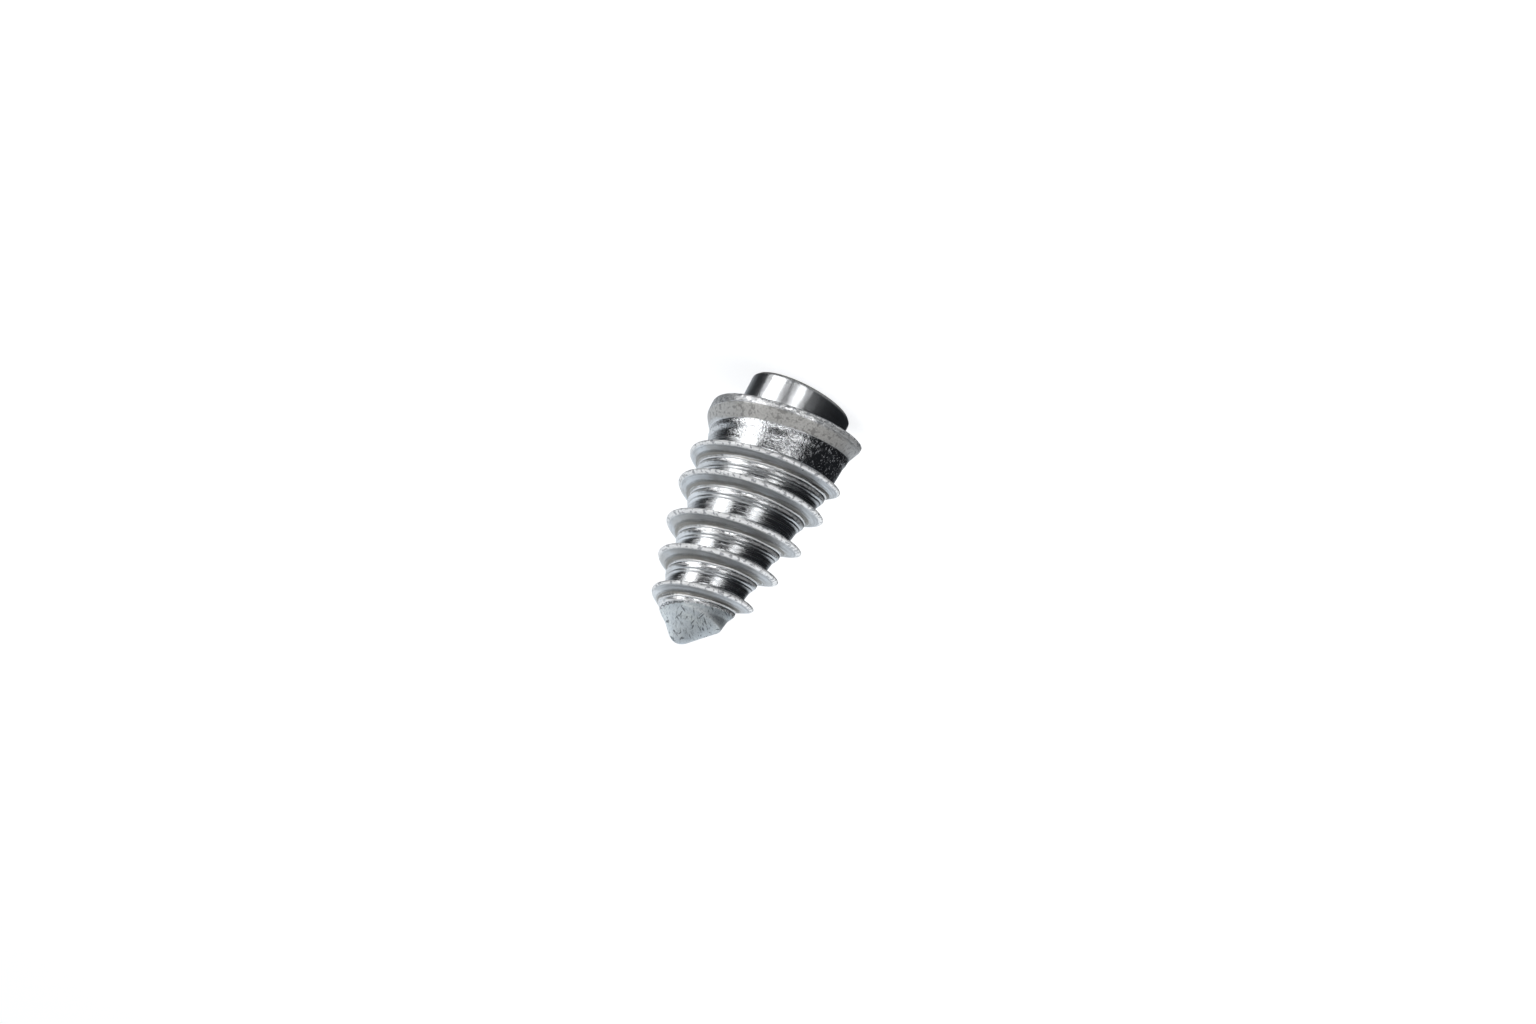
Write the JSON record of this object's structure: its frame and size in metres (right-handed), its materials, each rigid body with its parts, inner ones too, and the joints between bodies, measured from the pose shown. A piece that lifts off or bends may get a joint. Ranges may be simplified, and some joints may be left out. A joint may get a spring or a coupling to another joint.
{
  "type": "dental implant",
  "caption": "Tapered screw-type dental implant with a smooth neck, a collar, one deep helical blade, a blunt cone tip and a hexagon socket with a screw bore.",
  "frame": {"origin": "centre of the neck's end face, on the surface that the implant stands on", "axes": "+Z along the implant's axis, from the neck to the tip; -Y is the front"},
  "size_m": [0.0054, 0.0054, 0.0099],
  "materials": {
    "titanium": "polished titanium with a rough waist, pale blade sides and a scratched matte tip"
  },
  "bodies": {
    "root": {"implant_body": "titanium"}
  },
  "joints": []
}
